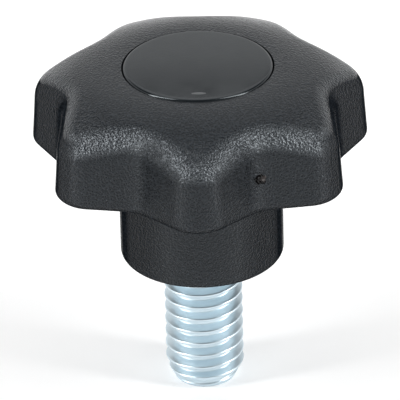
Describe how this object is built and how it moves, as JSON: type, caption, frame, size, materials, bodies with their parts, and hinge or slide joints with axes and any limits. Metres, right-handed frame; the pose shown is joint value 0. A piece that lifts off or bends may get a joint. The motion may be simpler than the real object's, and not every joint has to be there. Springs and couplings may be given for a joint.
{
  "type": "seven-arm clamping knob",
  "caption": "Moulded clamping knob with rounded arms round a domed head, a round hub, a glossy press-in cap and a threaded steel stud.",
  "frame": {"origin": "centre of the hub's seat face, where the stud leaves the hub", "axes": "+Z along the stud's axis up through the cap, the stud points to -Z, one arm points to -Y"},
  "size_m": [0.0336, 0.0329, 0.0357],
  "materials": {
    "body": "fine spark-eroded grain",
    "cap": "glossy",
    "stud": "bright blue-white zinc plate"
  },
  "bodies": {
    "root": {"knob_body": "body", "top_cap": "cap", "threaded_stud": "stud"}
  },
  "joints": []
}
